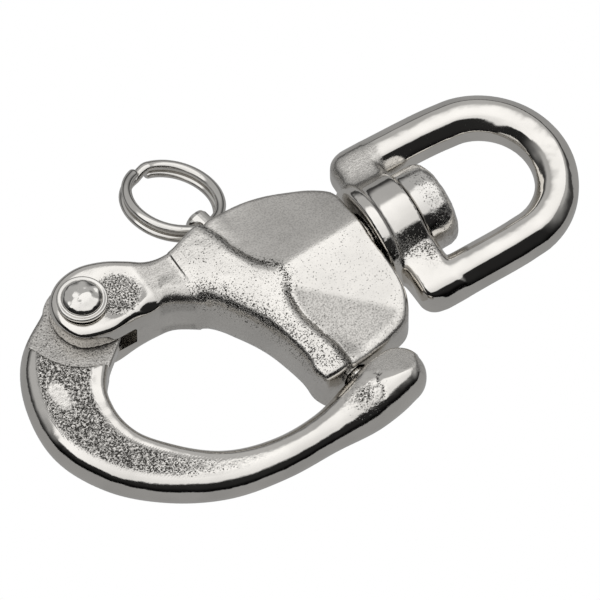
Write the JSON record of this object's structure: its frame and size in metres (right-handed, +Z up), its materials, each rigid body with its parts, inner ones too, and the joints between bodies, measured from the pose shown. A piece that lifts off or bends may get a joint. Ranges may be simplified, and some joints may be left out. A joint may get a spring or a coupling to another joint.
{
  "type": "swivel snap shackle",
  "caption": "Swivel snap shackle: a hook-shaped jaw hinged to a cast body snaps shut onto a spring plunger that a pull ring releases; a swivelling eye at the other end.",
  "frame": {"origin": "centre of the bounding box's lower face, with the shackle lying flat", "axes": "+X along the swivel's axis towards the eye, +Y towards the pull ring, +Z up, square to the shackle's flat"},
  "size_m": [0.0704, 0.0434, 0.0126],
  "materials": {
    "cast_steel": "investment-cast stainless steel, edges polished, faces left with cast grain",
    "turned_steel": "turned stainless steel",
    "spring_steel": "drawn stainless steel wire",
    "polished_steel": "tumble-polished stainless steel"
  },
  "bodies": {
    "body": {"body": "cast_steel", "hinge_rivet": "turned_steel", "plunger_bush": "turned_steel", "swivel_stud": "turned_steel", "plunger_spring": "spring_steel"},
    "jaw": {"jaw": "cast_steel"},
    "plunger": {"plunger": "turned_steel"},
    "pull_ring": {"pull_ring": "spring_steel"},
    "bail": {"bail": "polished_steel"}
  },
  "joints": [
    {"name": "jaw_pivot", "type": "hinge", "parent": "body", "child": "jaw", "pos_m": [-0.02302, 0.00774, 0.0063], "axis": [0, 0, -1], "range_deg": [0, 105]},
    {"name": "plunger_slide", "type": "slide", "parent": "body", "child": "plunger", "axis": [-0.1616, 0.9869, 0], "range_m": [0, 0.003], "stiffness_N_per_m": 1500, "springref_m": -0.002, "deforming": ["plunger_spring"]},
    {"name": "ring_swing", "type": "hinge", "parent": "plunger", "child": "pull_ring", "pos_m": [-0.00512, 0.01049, 0.0063], "axis": [0.915, 0.1498, -0.3746], "range_deg": [-20, 35]},
    {"name": "eye_swivel", "type": "hinge", "parent": "body", "child": "bail", "pos_m": [0.01008, -0.00051, 0.0063], "axis": [1, 0, 0], "continuous": true}
  ]
}
